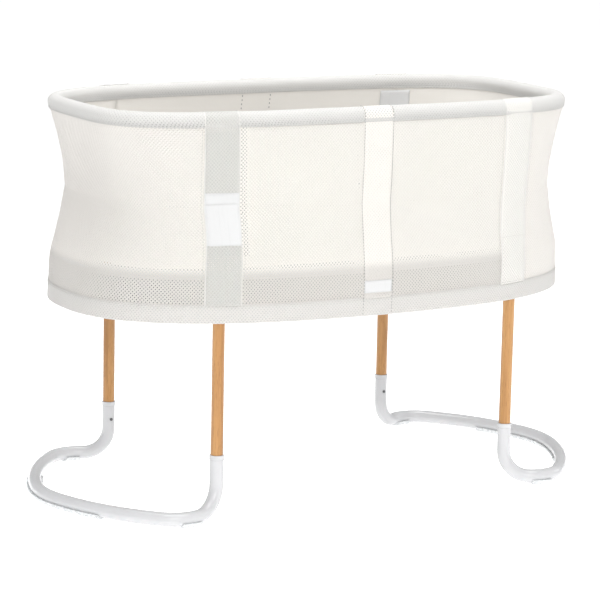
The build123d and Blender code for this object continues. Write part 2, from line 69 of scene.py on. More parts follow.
HEM_STAND_OFF = 0.0008
RIM_RADIUS = (rim_high.z - rim_low.z) / 2
RIM_Z = rim_high.z - RIM_RADIUS
RIM = Oval(rim_high.x, rim_high.y, 3.75)
HEM = Oval(hem_high.x - HEM_STAND_OFF, hem_high.y - HEM_STAND_OFF, 2.475)
WAIST = Oval(RIM.half_length - 0.0315, RIM.half_width + 0.0085, 3.6)
PLATFORM = Oval(HEM.half_length - 0.0038, HEM.half_width - 0.0026, 2.55)
HEM_Z = hem_low.z
HEM_TOP_Z = hem_high.z
COVER_TOP_Z = cover_high.z
WAIST_Z = RIM_Z - 0.142
PLATFORM_Z = HEM_Z + 0.076
FLARE_POWER = 1.75
SLOPE_EASING = 0.016

LINER_TOP = Oval(liner_high.x, RIM.half_width - 0.0235, 3.75)
LINER_WAIST = Oval(WAIST.half_length - 0.006, liner_high.y, 2.9)
LINER_BASE = Oval(floor_high.x, floor_high.y, 3.75)
LINER_BASE_Z = floor_high.z
BED = Oval(bed_high.x, bed_high.y, 3.75)

POST_X = (leg_low.x + leg_high.x) / 2
LEG_Y = (leg_low.y + leg_high.y) / 2
STRIP_HALF_WIDTH = 0.0275
STRIP_STAND_OFF = 0.0022
CENTRE_STAND_OFF = 0.0009
STRIP_EDGE_LIFT = 0.0006
CENTRE_STRIP_LEAN = (0.004, -0.012)
POST_BAND_LEAN = (0.006, -0.004)
FLAP_BOTTOM_Z = COVER_TOP_Z + 0.0025
PANEL_TOP_Z = FLAP_BOTTOM_Z + 0.002
# Width of the grey strips of painted shade beside the post bands.
PAINTED_SHADE_WIDTH = 0.013
POCKET_BOTTOM_Z = PLATFORM_Z + 0.032

RIM_FLAP_ROWS = 4
RIM_ANGLES = [math.radians(a) for a in range(-15, 196, 15)]
HEM_FOLD_DEPTH = 0.0042
HEM_FOLD_RADIUS = 0.0026
LEG_HOLE_RADIUS = 0.013

COVER_THICKNESS = 0.0013
LINER_THICKNESS = 0.0011
BAND_THICKNESS = 0.0011
MATTRESS_SWELL = 0.004
SHEET_HEM = 0.030

CORNERS = {"front_left": (-1, -1), "front_right": (1, -1), "back_left": (-1, 1), "back_right": (1, 1)}
SIDES = {"front": -1, "back": 1}
ENDS = {"left": -1, "right": 1}

# The knitted mesh: rows of holes, every other row shifted half a hole.
HOLE_PITCH = (0.0056, 0.0061)

# ---- shader helpers


def new_material(name):
    """Empty material with one Principled shader; returns it, its node tree and the shader."""
    material = bpy.data.materials.new(name)
    material.use_nodes = True
    tree = material.node_tree
    shader = next(node for node in tree.nodes if node.type == "BSDF_PRINCIPLED")
    return material, tree, shader


def add_node(tree, kind, inputs=None, **settings):
    """Node of one kind with its settings; each input is a value or another node's output."""
    made = tree.nodes.new(kind)
    for key, value in settings.items():
        setattr(made, key, value)
    for key, value in (inputs or {}).items():
        if isinstance(value, bpy.types.NodeSocket):
            tree.links.new(value, made.inputs[key])
        else:
            made.inputs[key].default_value = value
    return made


def calculate(tree, operation, *values):
    """Output of one Math node."""
    made = add_node(tree, "ShaderNodeMath", dict(enumerate(values)), operation=operation)
    return made.outputs[0]


def ranged(tree, value, low, high, to_low, to_high):
    """Value moved smoothly from one range to another, clamped."""
    inputs = {"Value": value, "From Min": low, "From Max": high, "To Min": to_low, "To Max": to_high}
    made = add_node(tree, "ShaderNodeMapRange", inputs, interpolation_type="SMOOTHSTEP")
    return made.outputs["Result"]


def mixed(tree, share, first, second):
    """Colour between two colours."""
    made = add_node(tree, "ShaderNodeMix", data_type="RGBA")
    tree.links.new(share, made.inputs["Factor"])
    for socket, value in ((made.inputs[6], first), (made.inputs[7], second)):
        if isinstance(value, bpy.types.NodeSocket):
            tree.links.new(value, socket)
        else:
            socket.default_value = (*value, 1.0)
    return made.outputs[2]


def place_in(tree, kind, stretch=(1, 1, 1)):
    """Texture coordinates ("Object" or "UV") stretched along each axis, as an output."""
    coordinates = add_node(tree, "ShaderNodeTexCoord")
    mapping = add_node(tree, "ShaderNodeMapping", {"Vector": coordinates.outputs[kind], "Scale": stretch})
    return mapping.outputs["Vector"]


def cloud(tree, place, scale, detail=3.0, rough=0.55):
    """Value of a noise texture."""
    inputs = {"Vector": place, "Scale": scale, "Detail": detail, "Roughness": rough}
    return add_node(tree, "ShaderNodeTexNoise", inputs).outputs[0]


def bumped(tree, shader, height, distance, strength=1.0):
    """Bump on the shader from a height, in metres."""
    inputs = {"Height": height, "Distance": distance, "Strength": strength}
    tree.links.new(add_node(tree, "ShaderNodeBump", inputs).outputs[0], shader.inputs["Normal"])


def wired(tree, shader, **outputs):
    """Outputs joined to the shader's inputs; an underscore stands for a space."""
    for key, value in outputs.items():
        tree.links.new(value, shader.inputs[key.replace("_", " ")])


# ---- materials


def beech():
    """Clear lacquered honey beech, grain along Z, with fine dark flecks."""
    material, tree, shader = new_material("honey_beech")
    streaks = cloud(tree, place_in(tree, "Object", (150, 150, 5)), 1.0, 6.0, 0.65)
    broad = cloud(tree, place_in(tree, "Object", (45, 45, 3.2)), 1.0, 2.0, 0.5)
    flecks = cloud(tree, place_in(tree, "Object", (900, 900, 60)), 1.0, 2.0, 0.5)
    grain = ranged(tree, streaks, 0.32, 0.68, 0.0, 1.0)
    honey = mixed(tree, grain, (0.55, 0.278, 0.086), (0.36, 0.160, 0.041))
    warm = mixed(tree, ranged(tree, broad, 0.35, 0.70, 0.0, 0.5), honey, (0.60, 0.325, 0.115))
    fleck_share = ranged(tree, flecks, 0.58, 0.66, 0.0, 0.55)
    colour = mixed(tree, fleck_share, warm, (0.29, 0.124, 0.032))
    wired(tree, shader, Base_Color=colour, Roughness=ranged(tree, streaks, 0.3, 0.7, 0.34, 0.48))
    shader.inputs["Coat Weight"].default_value = 0.25
    shader.inputs["Coat Roughness"].default_value = 0.25
    bumped(tree, shader, calculate(tree, "ADD", streaks, flecks), 0.00018)
    return material


def powder_coat(name, colour, roughness, coat):
    """Glossy coat on steel, with a faint orange peel and a little dust."""
    material, tree, shader = new_material(name)
    place = place_in(tree, "Object")
    peel = cloud(tree, place, 520.0, 2.0)
    dust = cloud(tree, place, 14.0, 5.0, 0.65)
    dusty = tuple(c * 0.95 for c in colour)
    shade = mixed(tree, ranged(tree, dust, 0.45, 0.75, 0.0, 1.0), colour, dusty)
    wired(tree, shader, Base_Color=shade)
    wired(tree, shader, Roughness=ranged(tree, dust, 0.3, 0.8, roughness, roughness + 0.12))
    shader.inputs["Coat Weight"].default_value = coat
    shader.inputs["Coat Roughness"].default_value = 0.12
    bumped(tree, shader, peel, 0.00006, 0.6)
    return material


def bare_steel():
    """Dark plain steel of the small screws, with turning marks."""
    material, tree, shader = new_material("screw_steel_dark")
    place = place_in(tree, "Object")
    grain = cloud(tree, place, 1800.0, 2.0)
    shade = mixed(tree, ranged(tree, grain, 0.3, 0.7, 0.0, 1.0), (0.10, 0.10, 0.105), (0.20, 0.20, 0.205))
    wired(tree, shader, Base_Color=shade, Roughness=ranged(tree, grain, 0.2, 0.8, 0.28, 0.45))
    shader.inputs["Metallic"].default_value = 1.0
    bumped(tree, shader, grain, 0.00004)
    return material


def milky_plastic():
    """Translucent milky plastic of the glides, scuffed fine."""
    material, tree, shader = new_material("milky_glide")
    place = place_in(tree, "Object")
    scuffs = cloud(tree, place, 60.0, 4.0, 0.6)
    shade = mixed(tree, ranged(tree, scuffs, 0.4, 0.7, 0.0, 1.0), (0.84, 0.86, 0.87), (0.78, 0.80, 0.81))
    wired(tree, shader, Base_Color=shade, Roughness=ranged(tree, scuffs, 0.3, 0.75, 0.22, 0.34))
    shader.inputs["Transmission Weight"].default_value = 0.25
    shader.inputs["IOR"].default_value = 1.46
    bumped(tree, shader, scuffs, 0.00002, 0.5)
    return material


def grained(name, colour, darker, scale, rough, bump):
    """Matt material with a fine grain in its colour, roughness and surface."""
    material, tree, shader = new_material(name)
    place = place_in(tree, "Object")
    grain = cloud(tree, place, scale, 4.0, 0.6)
    broad = cloud(tree, place, scale / 12, 3.0)
    base = mixed(tree, ranged(tree, grain, 0.3, 0.7, 0.0, 1.0), colour, darker)
    shade = mixed(tree, ranged(tree, broad, 0.4, 0.75, 0.0, 0.4), base, darker)
    wired(tree, shader, Base_Color=shade, Roughness=ranged(tree, grain, 0.2, 0.8, rough, rough + 0.1))
    bumped(tree, shader, grain, bump)
    return material


def knit_field(tree):
    """1 in the middle of each hole of the knitted mesh, -1 at the crossings of its yarns."""
    place = place_in(tree, "UV")
    waver = cloud(tree, place, 45.0, 2.0)
    parts = add_node(tree, "ShaderNodeSeparateXYZ", {0: place})
    shift = calculate(tree, "MULTIPLY", calculate(tree, "SUBTRACT", waver, 0.5), 0.0016)
    waves = []
    for axis, pitch in zip("XY", HOLE_PITCH):
        moved = calculate(tree, "ADD", parts.outputs[axis], shift)
        waves.append(calculate(tree, "COSINE", calculate(tree, "MULTIPLY", moved, 2 * math.pi / pitch)))
    return calculate(tree, "MULTIPLY", *waves)


# A band of painted shade on the knit: below a height its yarn colour is painted darker, and its holes open
# more.
PaintedShadeBand = namedtuple("PaintedShadeBand", "full_below none_above light hole")


def painted_shade_share(tree, part):
    """Share of painted shade: 1 below the lower height of the band, falling to 0 at its upper one."""
    height = add_node(tree, "ShaderNodeSeparateXYZ", {0: place_in(tree, "Object")}).outputs["Z"]
    return ranged(tree, height, part.full_below, part.none_above, 1.0, 0.0)


def knitted_mesh(name, yarn, shadow, hole, painted_shade_band=None):
    """Knitted spacer mesh: see-through holes in a diagonal lattice of yarn.

    hole is how far the holes are shut: 0.1 is open, 0.9 is nearly shut. Below a band of painted shade the
    yarn is painted darker by height, keeping only its share of the light, and the holes open to the band's
    own size.
    """
    material, tree, shader = new_material(name)
    field = knit_field(tree)
    if painted_shade_band:
        share = painted_shade_share(tree, painted_shade_band)
        opened = calculate(tree, "MULTIPLY", share, hole - painted_shade_band.hole)
        field = calculate(tree, "ADD", field, opened)
    yarns = place_in(tree, "UV")
    inputs = {"Vector": yarns, "Scale": 420.0, "Distortion": 2.5, "Detail": 1.0}
    loops = add_node(tree, "ShaderNodeTexWave", inputs, bands_direction="DIAGONAL").outputs["Fac"]
    broad = cloud(tree, yarns, 9.0, 3.0)
    rim = ranged(tree, field, hole - 0.55, hole, 0.0, 0.75)
    lit = mixed(tree, ranged(tree, loops, 0.0, 1.0, 0.0, 0.35), yarn, shadow)
    worn = mixed(tree, ranged(tree, broad, 0.4, 0.8, 0.0, 0.35), lit, tuple(c * 0.96 for c in yarn))
    colour = mixed(tree, rim, worn, shadow)
    if painted_shade_band:
        # Painted shade: the yarn colour is darkened by height below the band.
        colour = mixed(tree, share, colour, tuple(c * painted_shade_band.light for c in yarn))
    wired(tree, shader, Base_Color=colour, Alpha=ranged(tree, field, hole, hole + 0.16, 1.0, 0.0))
    wired(tree, shader, Roughness=ranged(tree, broad, 0.2, 0.8, 0.70, 0.82))
    shader.inputs["Sheen Weight"].default_value = 0.12
    shader.inputs["Sheen Roughness"].default_value = 0.5
    sunk = calculate(tree, "MULTIPLY", field, -1.0)
    twisted = calculate(tree, "MULTIPLY", loops, 0.3)
    bumped(tree, shader, calculate(tree, "ADD", sunk, twisted), 0.0005)
    return material


def woven(name, colour, darker, threads, bump=0.00022, sheen=0.1):
    """Plain weave: crossing threads, so many to the metre, with slubs and soft shade."""
    material, tree, shader = new_material(name)
    place = place_in(tree, "UV")
    parts = add_node(tree, "ShaderNodeSeparateXYZ", {0: place})
    turn = 2 * math.pi * threads
    warp, weft = (
        calculate(tree, "COSINE", calculate(tree, "MULTIPLY", parts.outputs[axis], turn)) for axis in "XY"
    )
    cross = calculate(tree, "MULTIPLY", warp, weft)
    slubs = cloud(tree, place_in(tree, "UV", (220, 14, 1)), 1.0, 4.0, 0.6)
    broad = cloud(tree, place, 7.0, 4.0)
    base = mixed(tree, ranged(tree, cross, -1.0, 1.0, 0.0, 0.5), colour, darker)
    streaked = mixed(tree, ranged(tree, slubs, 0.5, 0.8, 0.0, 0.5), base, darker)
    shade = mixed(tree, ranged(tree, broad, 0.4, 0.75, 0.0, 0.3), streaked, darker)
    wired(tree, shader, Base_Color=shade, Roughness=ranged(tree, slubs, 0.2, 0.8, 0.72, 0.86))
    shader.inputs["Sheen Weight"].default_value = sheen
    shader.inputs["Sheen Roughness"].default_value = 0.5
    bumped(tree, shader, calculate(tree, "ADD", cross, slubs), bump)
    return material


def thread(name, colour, darker):
    """Twisted sewing thread."""
    material, tree, shader = new_material(name)
    place = place_in(tree, "Object")
    inputs = {"Vector": place, "Scale": 1600.0, "Distortion": 1.0}
    twist = add_node(tree, "ShaderNodeTexWave", inputs, bands_direction="DIAGONAL").outputs["Fac"]
    wired(tree, shader, Base_Color=mixed(tree, twist, colour, darker))
    wired(tree, shader, Roughness=ranged(tree, twist, 0.0, 1.0, 0.6, 0.75))
    bumped(tree, shader, twist, 0.00012)
    return material


def pale_floor():
    """Pale studio floor with a faint mottle."""
    material, tree, shader = new_material("studio_floor")
    mottle = cloud(tree, place_in(tree, "Object"), 1.4, 3.0)
    wired(tree, shader, Base_Color=mixed(tree, mottle, (0.93, 0.93, 0.93), (0.955, 0.955, 0.955)))
    shader.inputs["Emission Color"].default_value = (1.0, 1.0, 1.0, 1.0)
    shader.inputs["Emission Strength"].default_value = 0.55
    shader.inputs["Roughness"].default_value = 0.6
    shader.inputs["Specular IOR Level"].default_value = 0.2
    return material


# Painted shade, by height: below the mattress platform, and below the middle of the rim roll.
SHADE_BELOW_MATTRESS = PaintedShadeBand(PLATFORM_Z - 0.002, PLATFORM_Z + 0.014, 0.78, 0.30)
SHADE_BELOW_RIM = PaintedShadeBand(RIM_Z - 0.008, RIM_Z + 0.001, 0.94, 0.40)
OPEN_MESH = knitted_mesh("open_knit", (0.93, 0.90, 0.86), (0.80, 0.775, 0.74), 0.36)
# Copy of the open knit with painted shade below the mattress platform.
SHADED_BASKET_MESH = knitted_mesh("shaded_basket_knit", (0.93, 0.90, 0.86), (0.80, 0.775, 0.74), 0.36, SHADE_BELOW_MATTRESS)
HEM_MESH = knitted_mesh("hem_knit", (0.73, 0.715, 0.695), (0.60, 0.59, 0.57), 0.60)
RIM_MESH = knitted_mesh("rim_knit", (0.69, 0.685, 0.67), (0.60, 0.595, 0.58), 0.80, SHADE_BELOW_RIM)
BAND_MESH = knitted_mesh("band_knit", (0.70, 0.695, 0.67), (0.55, 0.55, 0.53), 0.44)
# Paler copy of the band knit for the right post bands: painted light.
LIT_BAND_MESH = knitted_mesh("lit_band_knit", (0.90, 0.885, 0.85), (0.76, 0.75, 0.72), 0.44)
IVORY_WEAVE = woven("ivory_weave", (0.96, 0.935, 0.89), (0.93, 0.90, 0.85), 900)
POCKET_WEAVE = woven("pocket_weave", (0.70, 0.70, 0.68), (0.62, 0.62, 0.60), 700)
# Paler copy of the pocket weave for the right pockets: painted light.
LIT_POCKET_WEAVE = woven("lit_pocket_weave", (0.88, 0.87, 0.84), (0.82, 0.81, 0.78), 700)
# Grey cloth that stands in for the shade beside the posts: painted shade.
PAINTED_SHADE_WEAVE = woven("painted_shade_weave", (0.52, 0.51, 0.50), (0.44, 0.435, 0.425), 700)
BASE_WEAVE = woven("base_weave", (0.46, 0.455, 0.45), (0.38, 0.375, 0.37), 700)
LABEL_WEAVE = woven("label_weave", (0.76, 0.765, 0.77), (0.66, 0.665, 0.67), 1600, 0.0001, 0.0)
SHEET_WEAVE = woven("jersey_weave", (0.72, 0.715, 0.705), (0.64, 0.635, 0.625), 1100, 0.00018)
TICKING_WEAVE = woven("ticking_weave", (0.86, 0.86, 0.845), (0.78, 0.78, 0.77), 800)
PALE_THREAD = thread("pale_thread", (0.74, 0.73, 0.70), (0.60, 0.59, 0.57))
GREY_THREAD = thread("grey_thread", (0.33, 0.33, 0.32), (0.22, 0.22, 0.215))
PALE_PIPING = woven("piping_weave", (0.82, 0.81, 0.785), (0.70, 0.69, 0.67), 1200)
PADDING_FOAM = grained("padding_foam", (0.55, 0.55, 0.54), (0.46, 0.46, 0.45), 700.0, 0.8, 0.0003)

CAD_FINISH = {
    "white_steel": powder_coat("gloss_white", (0.61, 0.615, 0.63), 0.16, 0.5),
    "beech": beech(),
    "screw_steel": bare_steel(),
    "glide_plastic": milky_plastic(),
    "frame_steel": powder_coat("satin_white", (0.78, 0.78, 0.78), 0.30, 0.2),
    "stiffener_plastic": grained("stiffener_grey", (0.74,) * 3, (0.66,) * 3, 400.0, 0.5, 0.0001),
    "board_wood": grained("fibreboard", (0.55, 0.42, 0.28), (0.42, 0.31, 0.20), 260.0, 0.7, 0.0002),
}

# ---- outlines


def outline_point(oval, turn):
    """Point of a rounded oval, in the direction that turns from +X towards +Y."""
    c, s, n = math.cos(turn), math.sin(turn), oval.squareness
    reach = (abs(c) ** n + abs(s) ** n) ** (-1 / n)
    return Vector((oval.half_length * reach * c, oval.half_width * reach * s, 0))


def outline_normal(oval, point):
    """Outward unit normal of the oval at a point of it."""
    n = oval.squareness
    x = math.copysign(abs(point.x / oval.half_length) ** (n - 1) / oval.half_length, point.x)
    y = math.copysign(abs(point.y / oval.half_width) ** (n - 1) / oval.half_width, point.y)
    return Vector((x, y, 0)).normalized()


def turn_at(oval, x, side):
    """Turn of the oval's point at x, on the front (-1) or back (1)."""
    share = min(1.0, abs(x) / oval.half_length)
    across = (1 - share**oval.squareness) ** (1 / oval.squareness)
    return math.atan2(side * across, math.copysign(share, x))


def blended(first, second, share):
    """The oval part of the way from the first to the second."""
    return Oval(*(a + (b - a) * share for a, b in zip(first, second)))


def cover_oval(z):
    """Outside of the cover: it flares to the rim, and to the platform below the waist."""
    if z >= WAIST_Z:
        drop = (RIM_Z - z) / (RIM_Z - WAIST_Z)
        return blended(RIM, WAIST, 1 - (1 - drop) ** FLARE_POWER)
    if z >= PLATFORM_Z:
        return blended(WAIST, PLATFORM, (WAIST_Z - z) / (WAIST_Z - PLATFORM_Z))
    return blended(PLATFORM, HEM, (PLATFORM_Z - z) / (PLATFORM_Z - HEM_Z))


def cover_point(turn, z):
    """Point of the cover's outline at a height, straight between the waist and the platform."""
    if PLATFORM_Z < z < WAIST_Z:
        share = ((WAIST_Z - z) / (WAIST_Z - PLATFORM_Z)) ** 1.2
        return outline_point(WAIST, turn).lerp(outline_point(PLATFORM, turn), share)
    return outline_point(cover_oval(z), turn)


def eased_cover_point(turn, z):
    """The same, with the change of slope at the waist and the platform rounded off."""
    reach = SLOPE_EASING * calm(z, HEM_TOP_Z, COVER_TOP_Z, 0.03)
    shares = ((-1.0, 1), (-0.5, 2), (0.0, 2), (0.5, 2), (1.0, 1))
    total = Vector()
    for step, weight in shares:
        total += cover_point(turn, z + step * reach) * weight
    return total / sum(weight for step, weight in shares)


def liner_oval(z):
    """Outside of the inner liner: out at the waist, in to the mattress."""
    if z >= WAIST_Z:
        return blended(LINER_TOP, LINER_WAIST, (COVER_TOP_Z - z) / (COVER_TOP_Z - WAIST_Z))
    return blended(LINER_WAIST, LINER_BASE, (WAIST_Z - z) / (WAIST_Z - LINER_BASE_Z))


Crease = namedtuple("Crease", "start end width depth")
CREASES = (
    Crease(Vector((0.030, -0.231, 0.512)), Vector((0.150, -0.232, 0.452)), 0.007, 0.0026),
    Crease(Vector((0.040, -0.233, 0.492)), Vector((0.205, -0.235, 0.425)), 0.010, -0.0022),
    Crease(Vector((0.035, -0.236, 0.470)), Vector((0.125, -0.240, 0.425)), 0.006, 0.0016),
    Crease(Vector((-0.345, -0.205, 0.600)), Vector((-0.360, -0.200, 0.510)), 0.008, -0.0020),
    Crease(Vector((-0.372, -0.185, 0.590)), Vector((-0.350, -0.205, 0.500)), 0.006, 0.0016),
    Crease(Vector((0.245, -0.222, 0.600)), Vector((0.200, -0.228, 0.520)), 0.010, 0.0016),
    Crease(Vector((-0.060, 0.232, 0.500)), Vector((-0.180, 0.236, 0.440)), 0.009, 0.0020),
    Crease(Vector((0.080, 0.231, 0.540)), Vector((0.190, 0.228, 0.585)), 0.010, -0.0016),
)


def crease_depth(point):
    """How far the creases push the cover in at a point."""
    total = 0.0
    for crease in CREASES:
        along = crease.end - crease.start
        share = min(1.0, max(0.0, (point - crease.start).dot(along) / along.length_squared))
        near = (point - crease.start - along * share).length / crease.width
        if near < 3:
            total += crease.depth * math.exp(-near * near) * math.sin(math.pi * (0.15 + 0.7 * share))
    return total


def calm(z, low, high, margin):
    """1 between two heights, falling to 0 at each of them."""
    return min(1.0, max(0.0, (z - low) / margin), max(0.0, (high - z) / margin))


def cover_skin(turn, z, stand_off=0.0):
    """Point of the cover's outside, its slack and creases included."""
    base = eased_cover_point(turn, z)
    normal = outline_normal(cover_oval(z), base)
    place = base + Vector((0, 0, z))
    loose = calm(z, HEM_TOP_Z, COVER_TOP_Z, 0.03)
    slack = 0.0016 * (noise.noise(place * 9.0) - 0.2) + 0.0008 * noise.noise(place * 31.0)
    seam = 0.0012 * math.exp(-(((z - WAIST_Z) / 0.0035) ** 2))
    return place + normal * (stand_off + loose * (slack - crease_depth(place)) - seam)


def liner_skin(turn, z, stand_off=0.0):
    """Point of the liner's outside, with the soft puckers of its seams."""
    base = outline_point(liner_oval(z), turn)
    normal = outline_normal(liner_oval(z), base)
    place = base + Vector((0, 0, z))
    loose = calm(z, LINER_BASE_Z, COVER_TOP_Z, 0.02)
    puckers = noise.noise(Vector((place.x * 60, place.y * 60, z * 9)))
    slack = 0.0018 * noise.noise(place * 11.0) + 0.0006 * puckers
    seam = 0.0015 * math.exp(-(((z - WAIST_Z) / 0.004) ** 2))
    return place + normal * (stand_off + loose * slack + seam)


def span_between(low_x, high_x, side):
    """Turns, at each height's oval, of a panel on the front or back between two X positions."""
    ends = (low_x, high_x) if side < 0 else (high_x, low_x)
    return lambda oval: tuple(turn_at(oval, x, side) for x in ends)


def span_round(end):
    """Turns of a panel that wraps the left (-1) or right (1) end, from post to post."""

    def span(oval):
        post = turn_at(oval, POST_X, 1)
        middle = 0.0 if end > 0 else math.pi
        return middle - post, middle + post

    return span


def heights(low, high, count):
    """Evenly spaced heights, both ends included."""
    return [low + (high - low) * i / (count - 1) for i in range(count)]


# ---- mesh helpers


def placed(name, data):
    """Object made from mesh, light or camera data, in the scene."""
    made = bpy.data.objects.new(name, data)
    bpy.context.scene.collection.objects.link(made)
    return made


def lengths_along(points):
    """Running length at each point of a line."""
    total = [0.0]
    for a, b in zip(points, points[1:]):
        total.append(total[-1] + (b - a).length)
    return total


def new_piece(name, bm, material, slot, *replaced, body="basket"):
    """Object from a bmesh, riding on its body, in place of some CAD nodes."""
    data = bpy.data.meshes.new(name)
    bm.to_mesh(data)
    bm.free()
    data.materials.append(material)
    piece = placed(name, data)
    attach(piece, body)
    if replaced:
        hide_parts(*replaced)
    return piece


def cloth_grid(bm, grid, closed=False):
    """Faces between rows of points that run anticlockwise, with UVs that are lengths in metres."""
    layer = bm.loops.layers.uv.verify()
    rows = [[bm.verts.new(point) for point in row] for row in grid]
    middle = grid[len(grid) // 2]
    across = lengths_along(middle + middle[:1] if closed else middle)
    up = lengths_along([row[len(row) // 2] for row in grid])
    for j, (lower, upper) in enumerate(zip(rows, rows[1:])):
        for i in range(len(across) - 1):
            k = (i + 1) % len(lower)
            face = bm.faces.new((lower[i], lower[k], upper[k], upper[i]))
            face.smooth = True
            for loop, (a, b) in zip(face.loops, ((i, j), (i + 1, j), (i + 1, j + 1), (i, j + 1))):
                loop[layer].uv = (across[a], up[b])
    return rows


def thick(piece, thickness):
    """Gives cloth its thickness, inward from the modelled side."""
    shell = piece.modifiers.new("thickness", "SOLIDIFY")
    shell.thickness = thickness
    shell.offset = -1
    shell.use_quality_normals = True
    return piece


def wall_grid(skin, outline, levels, span, columns, stand_off=lambda share: 0.0):
    """Rows of points on a wall; the stand-off depends on the share of the way across."""
    grid = []
    for z in levels:
        low, high = span(outline(z))
        shares = [i / (columns - 1) for i in range(columns)]
        grid.append([skin(low + (high - low) * share, z, stand_off(share)) for share in shares])
    return grid


def wall_piece(name, grid, material, slot, thickness, *replaced, closed=False):
    """Sheet of cloth from its rows of points."""
    bm = bmesh.new()
    cloth_grid(bm, grid, closed)
    return thick(new_piece(name, bm, material, slot, *replaced), thickness)


def ring_of(skin, z, stand_off, columns):
    """Closed ring of points on a wall at one height."""
    return [skin(2 * math.pi * i / columns, z, stand_off) for i in range(columns)]


def ring_into(bm, centre, side, other, radius, corners):
    """Ring of vertices round a centre, in the plane of two directions."""
    turns = [2 * math.pi * k / corners for k in range(corners)]
    return [bm.verts.new(centre + (side * math.cos(t) + other * math.sin(t)) * radius) for t in turns]


def skin_into(bm, rings):
    """Closed skin over rings of vertices."""
    corners = len(rings[0])
    for lower, upper in zip(rings, rings[1:]):
        for k in range(corners):
            m = (k + 1) % corners
            bm.faces.new((lower[k], lower[m], upper[m], upper[k])).smooth = True
    bm.faces.new(rings[0][::-1])
    bm.faces.new(rings[-1])


def tube_into(bm, path, radius):
    """Round cord along a line of points."""
    rings = []
    for i, point in enumerate(path):
        before = path[max(i - 1, 0)]
        after = path[min(i + 1, len(path) - 1)]
        tangent = (after - before).normalized()
        side = tangent.orthogonal() if not rings else tangent.cross(last_side.cross(tangent))
        side = side.normalized()
        last_side = side
        rings.append(ring_into(bm, point, side, tangent.cross(side), radius, 6))
    skin_into(bm, rings)


def stitches_into(bm, line, pitch, length, radius):
    """Row of stitches along a line of points: a low bead of thread at each step."""
    run = lengths_along(line)
    count = int((run[-1] - length) / pitch)
    for i in range(count + 1):
        start = point_along(line, run, i * pitch)
        end = point_along(line, run, i * pitch + length)
        middle = (start + end) / 2
        along = (end - start).normalized()
        level = Vector((0, 0, 1)) if abs(along.z) < 0.9 else Vector((1, 0, 0))
        side = along.cross(level).normalized()
        other = along.cross(side)
        stations = ((start, 0.45), (middle, 1.0), (end, 0.45))
        rings = [ring_into(bm, point, side, other, radius * share, 4) for point, share in stations]
        skin_into(bm, rings)


def point_along(line, run, distance):
    """Point at a distance along a line of points."""
    distance = min(distance, run[-1])
    i = next((k for k in range(1, len(run)) if run[k] >= distance), len(run) - 1)
    step = run[i] - run[i - 1] or 1.0
    return line[i - 1].lerp(line[i], (distance - run[i - 1]) / step)


# ---- cover and liner


def panel_spans():
    """Span of each of the four panels between the posts: the two long sides, then the two ends."""
    spans = {name: span_between(-POST_X, POST_X, side) for name, side in SIDES.items()}
    spans.update({name: span_round(end) for name, end in ENDS.items()})
    return spans


def cover_panels():
    """The four panels of open mesh between the posts."""
    levels = heights(HEM_TOP_Z - 0.004, PANEL_TOP_Z, 58)
    for name, span in panel_spans().items():
        grid = wall_grid(cover_skin, cover_oval, levels, span, 96 if name in SIDES else 110)
        # The right end keeps the open knit, without the painted shade below the mattress.
        cloth = OPEN_MESH if name == "right" else SHADED_BASKET_MESH
        cad_node = f"outer_cover_{name}"
        panel = wall_piece(f"cover_{name}", grid, cloth, "mesh_fabric", COVER_THICKNESS, cad_node)


def liner_panels():
    """The four ivory panels of the inner bag."""
    levels = heights(LINER_BASE_Z, PANEL_TOP_Z, 44)
    for name, span in panel_spans().items():
        grid = wall_grid(liner_skin, liner_oval, levels, span, 80 if name in SIDES else 90)
        cad_node = f"liner_{name}"
        panel = wall_piece(f"lining_{name}", grid, IVORY_WEAVE, "liner_fabric", LINER_THICKNESS, cad_node)


def flat_cloth(outline, z, rings, columns, sag_at):
    """Bmesh of level cloth inside an oval, hanging down by the sag at each point."""
    bm = bmesh.new()
    grid = []
    for j in range(rings, -1, -1):
        share = 0.04 + 0.96 * j / rings
        ring = [outline_point(outline, 2 * math.pi * i / columns) * share for i in range(columns)]
        grid.append([point + Vector((0, 0, z - sag_at(point, share))) for point in ring])
    rows = cloth_grid(bm, grid, closed=True)
    bm.faces.new(rows[-1]).smooth = True
    return bm


def lining_base():
    """Floor of the inner bag, sagging a little between the cross rails."""

    def sag_at(point, share):
        return 0.0010 * abs(math.sin(point.x * math.pi / 0.17)) * (1 - share**4)

    bm = flat_cloth(LINER_BASE, LINER_BASE_Z, 24, 120, sag_at)
    piece = thick(new_piece("lining_base", bm, IVORY_WEAVE, "liner_fabric", "liner_floor"), 0.0010)


def base_cloth():
    """Cloth bottom of the basket inside the hem, with a round hole for each leg."""
    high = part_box("base_panel")[1]
    outline = Oval(high.x, high.y, HEM.squareness)

    def sag_at(point, share):
        return 0.0030 * (1 - share**3) * (1 + 0.4 * noise.noise(point * 7.0))

    bm = flat_cloth(outline, high.z, 60, 360, sag_at)
    holes = [face for face in bm.faces if at_leg(face.calc_center_median())]
    bmesh.ops.delete(bm, geom=holes, context="FACES")
    piece = thick(new_piece("base_cloth", bm, BASE_WEAVE, "mesh_fabric", "base_panel"), 0.0010)


def at_leg(point):
    """Whether a point lies in the hole for one of the legs."""
    return any(
        math.hypot(point.x - x_side * POST_X, point.y - y_side * LEG_Y) < LEG_HOLE_RADIUS
        for x_side, y_side in CORNERS.values()
    )


